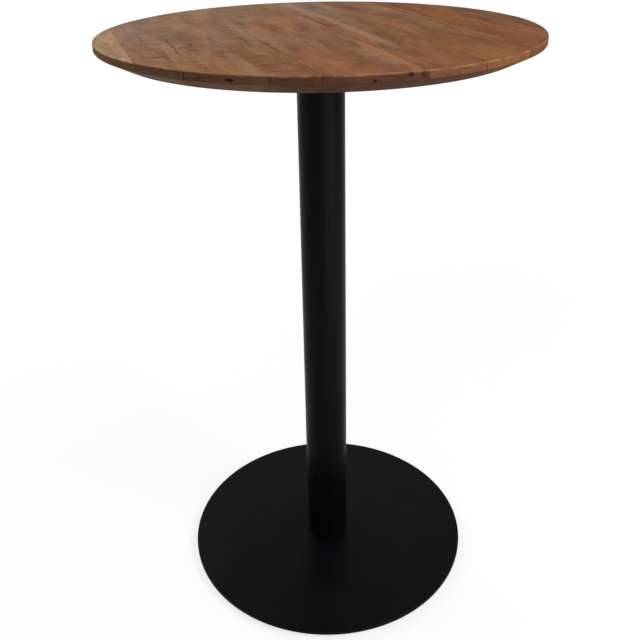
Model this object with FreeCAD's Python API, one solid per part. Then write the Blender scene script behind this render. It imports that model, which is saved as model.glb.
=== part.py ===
import FreeCAD
import Part

import math
import os

# Pub table at bar height: a round top of edge-glued boards, one steel column and a flat round base on
# four levelling glides. Millimetres, +Z up, origin on the floor under the column's axis.

# Whole table
table_height = 1100.0

# Wooden top. The boards lie along Y here, and the finished top is then swung by the grain angle.
top_diameter = 750.0
top_thickness = 30.0
rim_height = 12.0  # upright part of the edge, above the bevel
bevel_inset = 36.0  # how far the bevel draws the edge in underneath
arris_width = 1.0  # eased upper rim
grain_angle = 19.0  # degrees that the boards' far ends swing towards -X
seam_shares = (-0.89, -0.745, -0.49, -0.32, 0.055, 0.31, 0.565, 0.78)  # glue lines, of the top's radius

# Steel plate under the top
top_plate_side = 400.0
top_plate_thickness = 6.0
top_plate_corner_radius = 40.0
slot_length = 13.0  # across the grain, so that the boards can swell and shrink
slot_clearance = 0.3
slot_edge_margin = 15.0  # least distance from a slot's middle to the plate's edge
bolt_row_distance = 150.0  # from the column's axis to each row of bolts, along the grain

# Bolts, washers and threaded inserts that hold the top
bolt_diameter = 6.0
bolt_length = 18.0
bolt_head_height = 4.0
bolt_head_flats = 10.0
bolt_head_chamfer = 0.8
bolt_tip_chamfer = 0.7
washer_diameter = 18.0
washer_thickness = 1.6
washer_clearance = 0.2
insert_diameter = 10.0
insert_length = 13.0
insert_hole_spare = 2.0  # room past the insert for the bolt's tip

# Column
column_diameter = 85.0
column_wall = 2.5
disc_slip = 0.1  # between the welded-in discs and the tube's bore
head_disc_thickness = 10.0
foot_disc_thickness = 12.0

# Countersunk screws that clamp the column between the plates
screw_diameter = 8.0
screw_head_diameter = 16.0
screw_circle_diameter = 52.0
screw_count = 4
head_screw_length = 14.0
foot_screw_length = 18.0
screw_hole_clearance = 0.2
screw_tip_chamfer = 0.9
socket_flats = 5.0
socket_depth = 3.0
thread_clearance = 0.05  # between a plain-turned thread and its tapped hole

# Base plate
base_diameter = 580.0
base_thickness = 8.0
base_edge_radius = 1.5

# Levelling glides: a threaded stud that turns in a foot pad and screws into the base plate
glide_count = 4
glide_edge_distance = 45.0  # from the base's edge to a glide's axis
pad_diameter = 40.0
pad_sole = 2.0  # thickness under the stud's button
pad_lip = 1.2  # thickness over the button, which snaps in behind it
pad_edge_radius = 0.8
button_diameter = 14.0
button_thickness = 1.2
neck_diameter = 9.0
swivel_clearance = 0.06
collar_flats = 13.0
collar_height = 4.0
stud_diameter = 8.0
stud_engagement = 6.0  # length inside the base plate when screwed fully in
stud_hole_spare = 0.5
stud_tip_chamfer = 0.8

# One overrun for every cut
overrun = 1.0

# Levels that follow from these sizes
top_radius = top_diameter / 2
top_underside = table_height - top_thickness
top_plate_underside = top_underside - top_plate_thickness
pad_height = pad_sole + button_thickness + swivel_clearance + pad_lip
collar_foot = pad_height + swivel_clearance
base_underside = collar_foot + collar_height
base_upper_face = base_underside + base_thickness
disc_radius = column_diameter / 2 - column_wall - disc_slip
hex_sides = 6
full_turn = 360.0
half_turn = full_turn / 2
axis_origin = FreeCAD.Vector(0, 0, 0)
axis_up = FreeCAD.Vector(0, 0, 1)
axis_across = FreeCAD.Vector(1, 0, 0)


def turned(outline):
    """Solid turned about Z from (radius, level) points."""
    points = [FreeCAD.Vector(radius, 0, level) for radius, level in outline]
    return Part.Face(Part.makePolygon(points + points[:1])).revolve(axis_origin, axis_up, full_turn)


def rod(diameter, foot, head):
    """Round bar about Z between two levels."""
    return Part.makeCylinder(diameter / 2, head - foot, FreeCAD.Vector(0, 0, foot), axis_up)


def hexagon(across_flats, foot, head):
    """Hexagonal bar about Z between two levels."""
    corner_radius = across_flats / math.sqrt(3)
    corners = []
    for side in range(hex_sides + 1):
        angle = math.radians(full_turn * side / hex_sides)
        x = corner_radius * math.cos(angle)
        y = corner_radius * math.sin(angle)
        corners.append(FreeCAD.Vector(x, y, foot))
    return Part.Face(Part.makePolygon(corners)).extrude(axis_up * (head - foot))


def rim_eased(solid, level, radius):
    """Turned solid with its outermost edge at one level rounded off."""
    rings = [edge for edge in solid.Edges if isinstance(edge.Curve, Part.Circle)]
    nearest = min(abs(ring.Curve.Center.z - level) for ring in rings)
    level_rings = [ring for ring in rings if abs(ring.Curve.Center.z - level) <= nearest]
    return solid.makeFillet(radius, [max(level_rings, key=lambda ring: ring.Curve.Radius)])


def moved(shape, across, along, level=0):
    """Copy of a shape, shifted."""
    return shape.translated(FreeCAD.Vector(across, along, level))


def swung(shape):
    """Copy of a shape, turned with the grain of the top."""
    return shape.rotated(axis_origin, axis_up, grain_angle)


def ring_places(count, radius, start_angle):
    """Evenly spaced (x, y) places on a circle."""
    places = []
    for index in range(count):
        angle = math.radians(start_angle + full_turn * index / count)
        places.append((radius * math.cos(angle), radius * math.sin(angle)))
    return places


def save(name, *solids):
    """Write one piece, or a group of like pieces, under its node's name."""
    shape = solids[0] if len(solids) == 1 else Part.makeCompound(list(solids))
    shape.exportStep(f"parts/{name}.step")


def board_edges():
    """Left and right edge of each board, across the grain."""
    seams = [share * top_radius for share in seam_shares]
    return list(zip([-top_radius - overrun] + seams, seams + [top_radius + overrun]))


def bolt_places():
    """(across, along) place of each bolt: two on the middle of every board that the plate carries."""
    reach = top_plate_side / 2 - slot_edge_margin
    middles = [(left + right) / 2 for left, right in board_edges()]
    return [(middle, row) for middle in middles if abs(middle) <= reach
            for row in (-bolt_row_distance, bolt_row_distance)]


def screw_places():
    """(across, along) place of each screw at either end of the column."""
    return ring_places(screw_count, screw_circle_diameter / 2, half_turn / screw_count)


def make_boards():
    """Boards of the top: one turned blank, parted along the glue lines and bored for the inserts."""
    rim_foot = table_height - rim_height
    blank = turned([(0, top_underside), (top_radius - bevel_inset, top_underside), (top_radius, rim_foot),
                    (top_radius, table_height - arris_width), (top_radius - arris_width, table_height),
                    (0, table_height)])
    hole = rod(insert_diameter, top_underside - overrun, top_underside + insert_length + insert_hole_spare)
    holes = [moved(hole, across, along) for across, along in bolt_places()]
    strip_height = top_thickness + overrun + overrun
    boards = []
    for left, right in board_edges():
        corner = FreeCAD.Vector(left, -top_diameter, top_underside - overrun)
        strip = Part.makeBox(right - left, top_diameter + top_diameter, strip_height, corner)
        board = blank.common(strip)
        bores = [bore for bore in holes if left < bore.CenterOfMass.x < right]
        boards.append(board.cut(bores) if bores else board)
    return [board.Solids[0] for board in boards]


def make_insert():
    """Threaded insert, flush with the underside of its board."""
    body = rod(insert_diameter, top_underside, top_underside + insert_length)
    bore_head = top_underside + insert_length + overrun
    bore = rod(bolt_diameter + 2 * thread_clearance, top_underside - overrun, bore_head)
    return body.cut(bore)


def make_washer():
    """Plain washer under the top plate's slot."""
    foot = top_plate_underside - washer_thickness
    hole = rod(bolt_diameter + 2 * washer_clearance, foot - overrun, top_plate_underside + overrun)
    return rod(washer_diameter, foot, top_plate_underside).cut(hole)


def make_bolt():
    """Hexagon bolt, driven upwards through washer and slot into an insert."""
    seat = top_plate_underside - washer_thickness
    head_foot = seat - bolt_head_height
    corner_radius = bolt_head_flats / math.sqrt(3)
    head_round = turned([(0, head_foot), (corner_radius - bolt_head_chamfer, head_foot),
                         (corner_radius, head_foot + bolt_head_chamfer), (corner_radius, seat), (0, seat)])
    head = hexagon(bolt_head_flats, head_foot, seat).common(head_round)
    tip = seat + bolt_length
    shank_radius = bolt_diameter / 2
    shank = turned([(0, seat), (shank_radius, seat), (shank_radius, tip - bolt_tip_chamfer),
                    (shank_radius - bolt_tip_chamfer, tip), (0, tip)])
    return head.fuse(shank).removeSplitter().Solids[0]


def make_screw(length):
    """Countersunk screw with a hexagon socket, its head's face at zero and its tip downwards."""
    shank_radius = screw_diameter / 2
    head_radius = screw_head_diameter / 2
    body = turned([(0, 0), (head_radius, 0), (shank_radius, shank_radius - head_radius),
                   (shank_radius, screw_tip_chamfer - length), (shank_radius - screw_tip_chamfer, -length),
                   (0, -length)])
    return body.cut(hexagon(socket_flats, -socket_depth, overrun))


def make_screw_seat(plate_thickness):
    """Countersunk hole for such a screw, through a plate whose face is at zero."""
    hole_radius = screw_diameter / 2 + screw_hole_clearance
    head_radius = screw_head_diameter / 2
    foot = -plate_thickness - overrun
    return turned([(0, overrun), (head_radius, overrun), (head_radius, 0),
                   (hole_radius, hole_radius - head_radius), (hole_radius, foot), (0, foot)])


def upended(shape):
    """Copy of a shape, turned upside down about its face at zero."""
    return shape.rotated(axis_origin, axis_across, half_turn)


def make_top_plate():
    """Square plate with rounded corners, slots across the grain and countersunk holes for the column."""
    corner = FreeCAD.Vector(-top_plate_side / 2, -top_plate_side / 2, top_plate_underside)
    plate = Part.makeBox(top_plate_side, top_plate_side, top_plate_thickness, corner)
    uprights = [edge for edge in plate.Edges if edge.Vertexes[0].X == edge.Vertexes[1].X
                and edge.Vertexes[0].Y == edge.Vertexes[1].Y]
    plate = plate.makeFillet(top_plate_corner_radius, uprights)
    slot_width = bolt_diameter + 2 * slot_clearance
    slot_foot = top_plate_underside - overrun
    slot_head = top_underside + overrun
    straight = slot_length - slot_width
    slot_end = rod(slot_width, slot_foot, slot_head)
    slot_box = Part.makeBox(straight, slot_width, slot_head - slot_foot,
                            FreeCAD.Vector(-straight / 2, -slot_width / 2, slot_foot))
    slot = slot_box.fuse([moved(slot_end, -straight / 2, 0), moved(slot_end, straight / 2, 0)])
    cutters = [moved(slot, across, along) for across, along in bolt_places()]
    seat = make_screw_seat(top_plate_thickness)
    cutters += [moved(seat, across, along, top_underside) for across, along in screw_places()]
    return plate.cut(cutters)


def make_column_tube():
    """Round tube that stands on the base plate and carries the top plate."""
    tube = rod(column_diameter, base_upper_face, top_plate_underside)
    bore = rod(column_diameter - 2 * column_wall, base_upper_face - overrun, top_plate_underside + overrun)
    return tube.cut(bore)


def make_column_disc(foot, head):
    """Tapped disc welded into one end of the tube."""
    disc = rod(2 * disc_radius, foot, head)
    tapped = rod(screw_diameter + 2 * thread_clearance, foot - overrun, head + overrun)
    return disc.cut([moved(tapped, across, along) for across, along in screw_places()])


def glide_places():
    """(x, y) place of each glide under the base plate."""
    return ring_places(glide_count, base_diameter / 2 - glide_edge_distance, half_turn / glide_count)


def make_base_plate():
    """Round base plate with countersunk holes for the column and blind tapped holes for the glides."""
    plate = rod(base_diameter, base_underside, base_upper_face)
    for level in (base_underside, base_upper_face):
        plate = rim_eased(plate, level, base_edge_radius)
    stud_hole = rod(stud_diameter + 2 * thread_clearance, base_underside - overrun,
                    base_underside + stud_engagement + stud_hole_spare)
    seat = upended(make_screw_seat(base_thickness))
    cutters = [moved(stud_hole, x, y) for x, y in glide_places()]
    cutters += [swung(moved(seat, across, along, base_underside)) for across, along in screw_places()]
    return plate.cut(cutters)


def make_glide_pad():
    """Foot pad, hollowed for the stud's button behind a lip."""
    cavity_head = pad_sole + button_thickness + swivel_clearance
    cavity_radius = button_diameter / 2 + swivel_clearance
    lip_radius = neck_diameter / 2 + swivel_clearance
    pad_radius = pad_diameter / 2
    pad = turned([(0, 0), (pad_radius, 0), (pad_radius, pad_height), (lip_radius, pad_height),
                  (lip_radius, cavity_head), (cavity_radius, cavity_head), (cavity_radius, pad_sole),
                  (0, pad_sole)])
    pad = rim_eased(pad, pad_height, pad_edge_radius)
    return rim_eased(pad, 0, pad_edge_radius)


def make_glide_stud():
    """Stud of a glide: button, neck, hexagon collar for a spanner and plain-turned thread."""
    neck_radius = neck_diameter / 2
    button_radius = button_diameter / 2
    stud_radius = stud_diameter / 2
    tip = base_underside + stud_engagement
    button_head = pad_sole + button_thickness
    foot = turned([(0, pad_sole), (button_radius, pad_sole), (button_radius, button_head),
                   (neck_radius, button_head), (neck_radius, collar_foot), (0, collar_foot)])
    thread = turned([(0, base_underside), (stud_radius, base_underside),
                     (stud_radius, tip - stud_tip_chamfer), (stud_radius - stud_tip_chamfer, tip), (0, tip)])
    collar = hexagon(collar_flats, collar_foot, base_underside)
    return collar.fuse([foot, thread]).removeSplitter().Solids[0]


os.makedirs("parts", exist_ok=True)

for number, board in enumerate(make_boards(), start=1):
    save(f"top_board_{number}", swung(board))
top_fixings = {"threaded_inserts": make_insert(), "top_washers": make_washer(), "top_bolts": make_bolt()}
for name, piece in top_fixings.items():
    save(name, *[swung(moved(piece, across, along)) for across, along in bolt_places()])
save("top_plate", swung(make_top_plate()))

head_screw = moved(make_screw(head_screw_length), 0, 0, top_underside)
foot_screw = moved(upended(make_screw(foot_screw_length)), 0, 0, base_underside)
for name, piece in (("head_screws", head_screw), ("foot_screws", foot_screw)):
    save(name, *[swung(moved(piece, across, along)) for across, along in screw_places()])
save("head_disc", swung(make_column_disc(top_plate_underside - head_disc_thickness, top_plate_underside)))
save("column_tube", make_column_tube())
save("foot_disc", swung(make_column_disc(base_upper_face, base_upper_face + foot_disc_thickness)))
save("base_plate", make_base_plate())

for number, (x, y) in enumerate(glide_places(), start=1):
    save(f"glide_pad_{number}", moved(make_glide_pad(), x, y))
    save(f"glide_stud_{number}", moved(make_glide_stud(), x, y))
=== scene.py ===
"""Pub table: a round top of nine old boards on a black steel pedestal with levelling glides."""

import logging
import math
from dataclasses import dataclass
from enum import Enum
from typing import Optional, Union

import bmesh
import bpy
from mathutils import Matrix, Vector, noise


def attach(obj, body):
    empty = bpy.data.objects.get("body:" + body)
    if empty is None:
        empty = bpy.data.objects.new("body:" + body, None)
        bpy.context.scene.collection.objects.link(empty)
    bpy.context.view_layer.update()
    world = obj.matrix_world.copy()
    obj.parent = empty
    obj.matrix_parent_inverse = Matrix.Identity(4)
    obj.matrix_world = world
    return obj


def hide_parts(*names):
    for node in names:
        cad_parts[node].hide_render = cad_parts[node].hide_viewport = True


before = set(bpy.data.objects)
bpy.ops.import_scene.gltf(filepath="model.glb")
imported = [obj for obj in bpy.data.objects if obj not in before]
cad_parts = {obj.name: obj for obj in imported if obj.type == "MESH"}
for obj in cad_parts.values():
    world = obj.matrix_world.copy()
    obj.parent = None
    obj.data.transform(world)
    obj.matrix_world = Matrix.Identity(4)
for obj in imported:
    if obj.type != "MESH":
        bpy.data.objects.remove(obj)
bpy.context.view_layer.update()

Colour = tuple[float, float, float, float]
Point = tuple[float, float, float]
Socket = bpy.types.NodeSocket
Value = Union[float, Point, Colour, Socket]

LOG = logging.getLogger("pub_table")
IMAGE_SIDE = 640
ORIGIN = (0.0, 0.0, 0.0)
GRAIN_ANGLE = math.radians(19.0)
SPLIT_LAYER = "split"
WELD = 0.000002
SHARP_ANGLE = math.radians(38.0)


class Slot(Enum):
    """Names of material slots for the pieces that take the place of CAD nodes; nothing in the script uses
    them.
    """

    TEAK = "teak"
    COAT = "black_powder_coat"


class Side(Enum):
    """End of a board, by the sign of its place along the grain."""

    NEAR = -1
    FAR = 1


def rgb(red: float, green: float, blue: float) -> Colour:
    """Returns an opaque colour from its linear parts."""
    return (red, green, blue, 1.0)


@dataclass(frozen=True)
class Cloud:
    """Noise over a surface.

    Attributes:
        cycles: Cycles per metre along each axis, or per size where a group divides its place by one.
        detail: Octaves of finer noise.
        roughness: Share that each finer octave keeps.
        low: Noise at which its mask starts.
        high: Noise at which its mask is full.
    """

    cycles: Point
    detail: float = 2.0
    roughness: float = 0.5
    low: float = 0.0
    high: float = 1.0


class Sheet:
    """Shader node tree that is filled by short calls.

    A value handed to a call is a number, a vector, a colour or another node's output.
    """

    def __init__(self, tree: bpy.types.NodeTree) -> None:
        """Starts on an emptied tree."""
        tree.nodes.clear()
        self.tree = tree

    def put(self, kind: str, inputs: dict, **settings: object) -> bpy.types.Node:
        """Adds one node.

        Args:
            kind: Blender's name of the node type.
            inputs: Values by the name or number of the input.
            **settings: Properties of the node.

        Returns:
            The new node.
        """
        node = self.tree.nodes.new(kind)
        for key, setting in settings.items():
            setattr(node, key, setting)
        for key, value in inputs.items():
            self.feed(node.inputs[key], value)
        return node

    def feed(self, socket: Socket, value: Value) -> None:
        """Links a socket to another node's output, or sets its own value.

        Args:
            socket: Input of a node.
            value: What it gets.
        """
        if isinstance(value, Socket):
            self.tree.links.new(value, socket)
        else:
            socket.default_value = value

    def math(self, operation: str, *values: Value) -> Socket:
        """Returns the output of a Math node."""
        return self.put("ShaderNodeMath", dict(enumerate(values)), operation=operation).outputs[0]

    def times(self, first: Value, second: Value) -> Socket:
        """Returns the product of two values."""
        return self.math("MULTIPLY", first, second)

    def affine(self, value: Value, factor: Value, offset: Value) -> Socket:
        """Returns a value times a factor plus an offset."""
        return self.math("MULTIPLY_ADD", value, factor, offset)

    def hypot(self, first: Value, second: Value) -> Socket:
        """Returns the length of two parts at right angles."""
        return self.math("SQRT", self.affine(first, first, self.times(second, second)))

    def vector(self, operation: str, *values: Value) -> Socket:
        """Returns the vector output of a Vector Math node."""
        node = self.put("ShaderNodeVectorMath", dict(enumerate(values)), operation=operation)
        return node.outputs["Vector"]

    def measure(self, operation: str, *values: Value) -> Socket:
        """Returns the value output of a Vector Math node, such as a length or a dot product."""
        return self.put("ShaderNodeVectorMath", dict(enumerate(values)), operation=operation).outputs["Value"]

    def parts(self, vector: Socket) -> list[Socket]:
        """Returns the three parts of a vector."""
        return list(self.put("ShaderNodeSeparateXYZ", {0: vector}).outputs)

    def cloud(self, place: Socket, kind: Cloud) -> Socket:
        """Returns a noise from 0 to 1 at a place."""
        inputs = {"Scale": 1.0, "Detail": kind.detail, "Roughness": kind.roughness}
        inputs["Vector"] = self.vector("MULTIPLY", place, kind.cycles)
        return self.put("ShaderNodeTexNoise", inputs).outputs[0]

    def mask(self, place: Socket, kind: Cloud) -> Socket:
        """Returns the mask of a noise at a place."""
        return self.ease(self.cloud(place, kind), kind.low, kind.high)

    def stray(self, place: Socket, kind: Cloud, reach: float) -> Socket:
        """Returns a noise that strays over a reach about zero."""
        return self.affine(self.cloud(place, kind), reach, -0.5 * reach)

    def sway(self, place: Socket, kind: Cloud, reach: float) -> Socket:
        """Returns a place that strays over a reach across the grain."""
        aside = self.put("ShaderNodeCombineXYZ", {0: self.stray(place, kind, reach)}).outputs[0]
        return self.vector("ADD", place, aside)

    def ease(self, value: Value, low: Value, high: Value) -> Socket:
        """Returns a smooth step from 0 at low to 1 at high, falling where low is the greater."""
        inputs = {"Value": value, "From Min": low, "From Max": high}
        return self.put("ShaderNodeMapRange", inputs, interpolation_type="SMOOTHSTEP").outputs[0]

    def span(self, value: Value, low: Value, high: Value) -> Socket:
        """Returns a value from 0 to 1 stretched over low to high."""
        return self.put("ShaderNodeMapRange", {"Value": value, "To Min": low, "To Max": high}).outputs[0]

    def mix(self, share: Value, first: Value, second: Value) -> Socket:
        """Returns the first colour with a share of the second."""
        return self.put("ShaderNodeMix", {0: share, 6: first, 7: second}, data_type="RGBA").outputs[2]

    def dim(self, colour: Value, factor: Value) -> Socket:
        """Returns a colour or a vector times a factor."""
        parts = colour if isinstance(colour, Socket) else colour[:3]
        return self.put("ShaderNodeVectorMath", {0: parts, "Scale": factor}, operation="SCALE").outputs[0]

    def place(self) -> Socket:
        """Returns the place on the piece, in metres in the table's frame."""
        return self.put("ShaderNodeTexCoord", {}).outputs["Object"]

    def facing(self) -> Socket:
        """Returns the direction that the surface faces, in the table's frame."""
        return self.put("ShaderNodeTexCoord", {}).outputs["Normal"]

    def use(self, group: bpy.types.NodeTree, **inputs: Value) -> bpy.types.Node:
        """Places a node group.

        Args:
            group: The group.
            **inputs: Its inputs, named in snake case.

        Returns:
            The node that holds it.
        """
        node = self.put("ShaderNodeGroup", {}, node_tree=group)
        for key, value in inputs.items():
            self.feed(node.inputs[key.replace("_", " ").title()], value)
        return node

    def bump(self, height: Value, depth: float, strength: float) -> Socket:
        """Returns a normal raised by a height of up to depth metres."""
        inputs = {"Height": height, "Distance": depth, "Strength": strength}
        return self.put("ShaderNodeBump", inputs).outputs[0]

    def surface(self, inputs: dict) -> None:
        """Ends a material's tree in a Principled shader with these inputs."""
        shader = self.put("ShaderNodeBsdfPrincipled", inputs)
        self.put("ShaderNodeOutputMaterial", {"Surface": shader.outputs[0]})


def new_material(name: str) -> tuple[bpy.types.Material, Sheet]:
    """Makes an empty material.

    Args:
        name: Name of the material.

    Returns:
        The material and the sheet of its tree.
    """
    material = bpy.data.materials.new(name)
    material.use_nodes = True
    return material, Sheet(material.node_tree)


class Effects:
    """Node groups that several finishes share, each built once."""

    SOCKET_KINDS = {0: "NodeSocketFloat", 3: "NodeSocketVector", 4: "NodeSocketColor"}

    # Slow changes over the whole top, with a painted sheen that lightens and greys it towards the back-left
    # light
    TOWARD_SHEEN_LIGHT = (-0.5, 0.87, 0.0)
    FADE_LIMITS = (-0.9, 0.9)
    FADE_REACH = 0.3
    SWAY = Cloud((7.0, 4.0, 7.0), 3.0, 0.55)
    SWAY_REACH = 0.06
    PATCH = Cloud((12.0, 3.4, 12.0), 4.0, 0.6)
    EMBER_LIMITS = (0.52, 0.28)
    GREY_LIMITS = (0.42, 0.72)

    # Tones of the figure, as shares of the board's own tone
    LIGHT_MID_DARK = (1.26, 0.77, 0.36)
    TONE = Cloud((22.0, 5.0, 22.0), 4.0, 0.62, 0.38, 0.62)
    HUE = Cloud((18.0, 3.6, 18.0), 4.0, 0.58, 0.34, 0.66)
    COOL = rgb(0.99, 0.98, 1.13)
    WARM = rgb(1.01, 1.02, 0.88)
    STREAK = Cloud((46.0, 7.0, 46.0), 4.0, 0.62, 0.52, 0.7)
    MOTTLE = Cloud((36.0, 28.0, 36.0), 5.0, 0.67)
    MOTTLE_SHADES = (0.64, 1.36)
    FIBRE = Cloud((900.0, 16.0, 900.0), 2.0, 0.6)
    FIBRE_SHADES = (0.72, 1.28)
    FLECK = Cloud((240.0, 20.0, 240.0), 2.0, 0.5, 0.61, 0.73)
    FLECK_STRENGTH = 0.5
    FLECK_SHADE = 0.7
    PORE = Cloud((2600.0, 120.0, 2600.0), 1.0, 0.5, 0.6, 0.74)
    PORE_STRENGTH = 0.45
    PORE_SHADE = 0.4

    # Growth rings and saw marks
    RING_STRENGTH = 0.16
    RING_JITTER = Cloud((34.0, 3.0, 34.0))
    RING_JITTER_YEARS = 2.6
    LATEWOOD_RISE = (0.35, 0.9)
    LATEWOOD_FALL = (1.0, 0.94)
    SAW_REGION = Cloud((7.0, 6.0, 7.0), 2.0, 0.5, 0.3, 0.5)
    SAW_PATCH = Cloud((26.0, 34.0, 26.0), 2.0, 0.5, 0.42, 0.62)
    SAW_STROKES = Cloud((30.0, 140.0, 30.0), 4.0, 0.7)
    SAW_DEEP_LIMITS = (0.5, 0.62)
    SAW_RIDGE_LIMITS = (0.46, 0.36)
    RIDGE_SHADE = 1.1

    # Heights in the bump of the figure
    FIBRE_HEIGHT = 0.35
    RING_HEIGHT = 0.25
    SAW_DEPTH = 0.4
    PORE_DEPTH = 0.6
    FLECK_DEPTH = 0.5

    # Marks, cracks, and the pale upper edge, partly worn and partly painted highlight
    RAGGED = Cloud((500.0, 500.0, 500.0))
    RAGGED_REACH = 0.8
    MARK_LIMITS = (1.1, 0.6)
    WAVER = Cloud((40.0, 40.0, 0.0), 3.0)
    WAVER_REACH = 0.012
    HAIRLINE_TIP = 0.3
    HAIRLINE_LIMITS = (1.0, 0.4)
    RUBBED_AND_LIT = Cloud((26.0, 26.0, 26.0), 4.0, 0.65, 0.36, 0.62)
    PALE_EDGE_LIMITS = (1.4, 0.5)

    # Skin of metal and nylon
    COARSE_PEBBLE = Cloud((1.0, 1.0, 1.0), 1.0)
    FINE_PEBBLE = Cloud((4.1, 4.1, 4.1), 1.0)
    FINE_PEBBLE_HEIGHT = 0.35
    BLOTCH = Cloud((1.0, 1.0, 1.0), 4.0, 0.6, 0.35, 0.7)
    SPECK = Cloud((45.0, 45.0, 45.0), 1.0, 0.5, 0.66, 0.76)

    def __init__(self) -> None:
        """Builds every group."""
        self.grain_space = self.make_grain_space()
        self.painted_sheen_fade = self.make_painted_sheen_fade()
        self.board_figure = self.make_board_figure()
        self.old_mark = self.make_old_mark()
        self.hairline = self.make_hairline()
        self.worn_and_highlit_rim = self.make_worn_and_highlit_rim()
        self.pebble = self.make_pebble()
        self.blotches = self.make_blotches()

    def start(self, name: str, inputs: dict, outputs: dict) -> tuple[Sheet, dict, bpy.types.Node]:
        """Opens a node group.

        Args:
            name: Name of the group.
            inputs: Starting values by the input's name; their length gives the socket's kind.
            outputs: Sample values by the output's name, read the same way.

        Returns:
            The group's sheet, its inputs by name, and its output node.
        """
        tree = bpy.data.node_groups.new(name, "ShaderNodeTree")
        sheet = Sheet(tree)
        for direction, sockets in (("INPUT", inputs), ("OUTPUT", outputs)):
            for key, value in sockets.items():
                kind = self.SOCKET_KINDS[len(value) if isinstance(value, tuple) else 0]
                socket = tree.interface.new_socket(name=key, in_out=direction, socket_type=kind)
                if direction == "INPUT":
                    socket.default_value = value
        entry = sheet.put("NodeGroupInput", {})
        return sheet, {key: entry.outputs[key] for key in inputs}, sheet.put("NodeGroupOutput", {})

    def make_grain_space(self) -> bpy.types.NodeTree:
        """Builds the turn from the table's frame to across, along and up in the boards.

        Returns:
            The group: a place or direction in, the same turned to the grain out.
        """
        sheet, given, out = self.start("grain_space", {"Vector": ORIGIN}, {"Vector": ORIGIN})
        inputs = {"Vector": given["Vector"], "Angle": -GRAIN_ANGLE}
        turn = sheet.put("ShaderNodeVectorRotate", inputs, rotation_type="Z_AXIS")
        sheet.feed(out.inputs["Vector"], turn.outputs[0])
        return sheet.tree

    def make_painted_sheen_fade(self) -> bpy.types.NodeTree:
        """Builds the painted sheen over the whole top: a slow change from its richer near-right side to its
        greyer far-left side, towards the back-left light.

        Returns:
            The group: place and rim radius in, mask out.
        """
        sheet, given, out = self.start("painted_sheen_fade", {"Place": ORIGIN, "Radius": 0.375}, {"Mask": 0.0})
        toward = sheet.measure("DOT_PRODUCT", given["Place"], self.TOWARD_SHEEN_LIGHT)
        share = sheet.math("DIVIDE", toward, given["Radius"])
        sheet.feed(out.inputs["Mask"], sheet.ease(share, *self.FADE_LIMITS))
        return sheet.tree

    def make_board_figure(self) -> bpy.types.NodeTree:
        """Builds the figure of one board: tone, rings, streaks, saw marks, mottling, fibre, flecks, pores and
        painted sheen.

        Returns:
            The group: grain place, painted sheen and tones in, colour, height and openness out.
        """
        inputs = {"Place": ORIGIN, "Fade": 0.5, "Tone": rgb(0.25, 0.12, 0.06), "Ember": rgb(0.3, 0.12, 0.04),
                  "Embers": 0.2, "Weathered": rgb(0.3, 0.23, 0.15), "Weathering": 0.2, "Streaks": 0.4,
                  "Saw Marks": 0.2, "Ring Width": 0.006, "Pith Depth": 0.08, "Pith Slope": 0.1}
        outputs = {"Color": rgb(0.0, 0.0, 0.0), "Height": 0.0, "Openness": 0.0}
        sheet, given, out = self.start("board_figure", inputs, outputs)
        place = given["Place"]
        swayed = sheet.sway(place, self.SWAY, self.SWAY_REACH)
        late = self.add_rings(sheet, given, swayed)
        sawn, ridge = self.add_saw_marks(sheet, place)
        fibre = sheet.cloud(swayed, self.FIBRE)
        fleck = sheet.mask(swayed, self.FLECK)
        pore = sheet.mask(place, self.PORE)
        light, mid, dark = (sheet.dim(given["Tone"], share) for share in self.LIGHT_MID_DARK)
        # Painted sheen: the fade shifts the patch noise, so the grey layer grows towards the back-left light
        # and the orange layer grows away from it
        sheen_shift = sheet.affine(given["Fade"], self.FADE_REACH, -0.5 * self.FADE_REACH)
        patches_and_sheen = sheet.math("ADD", sheet.cloud(place, self.PATCH), sheen_shift)
        layers = (
            (late, self.RING_STRENGTH, dark),
            (sheet.ease(patches_and_sheen, *self.EMBER_LIMITS), given["Embers"], given["Ember"]),
            (sheet.ease(patches_and_sheen, *self.GREY_LIMITS), given["Weathering"], given["Weathered"]),
            (sheet.mask(swayed, self.STREAK), given["Streaks"], dark),
            (sawn, given["Saw Marks"], dark),
            (ridge, given["Saw Marks"], sheet.dim(light, self.RIDGE_SHADE)),
        )
        colour = sheet.mix(sheet.mask(swayed, self.TONE), light, mid)
        for mask, strength, layer in layers:
            colour = sheet.mix(sheet.times(mask, strength), colour, layer)
        hue = sheet.mix(sheet.mask(swayed, self.HUE), self.COOL, self.WARM)
        colour = sheet.vector("MULTIPLY", colour, hue)
        colour = sheet.dim(colour, sheet.span(fibre, *self.FIBRE_SHADES))
        colour = sheet.dim(colour, sheet.span(sheet.cloud(place, self.MOTTLE), *self.MOTTLE_SHADES))
        smooth = sheet.affine(given["Saw Marks"], -self.FLECK_STRENGTH, self.FLECK_STRENGTH)
        colour = sheet.mix(sheet.times(fleck, smooth), colour, sheet.dim(dark, self.FLECK_SHADE))
        colour = sheet.mix(sheet.times(pore, self.PORE_STRENGTH), colour, sheet.dim(dark, self.PORE_SHADE))
        hollow = sheet.affine(pore, self.PORE_DEPTH, sheet.times(fleck, self.FLECK_DEPTH))
        raised = sheet.affine(fibre, self.FIBRE_HEIGHT, sheet.times(late, self.RING_HEIGHT))
        raised = sheet.affine(sawn, -self.SAW_DEPTH, raised)
        sheet.feed(out.inputs["Color"], colour)
        sheet.feed(out.inputs["Height"], sheet.math("SUBTRACT", raised, hollow))
        sheet.feed(out.inputs["Openness"], hollow)
        return sheet.tree

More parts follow.
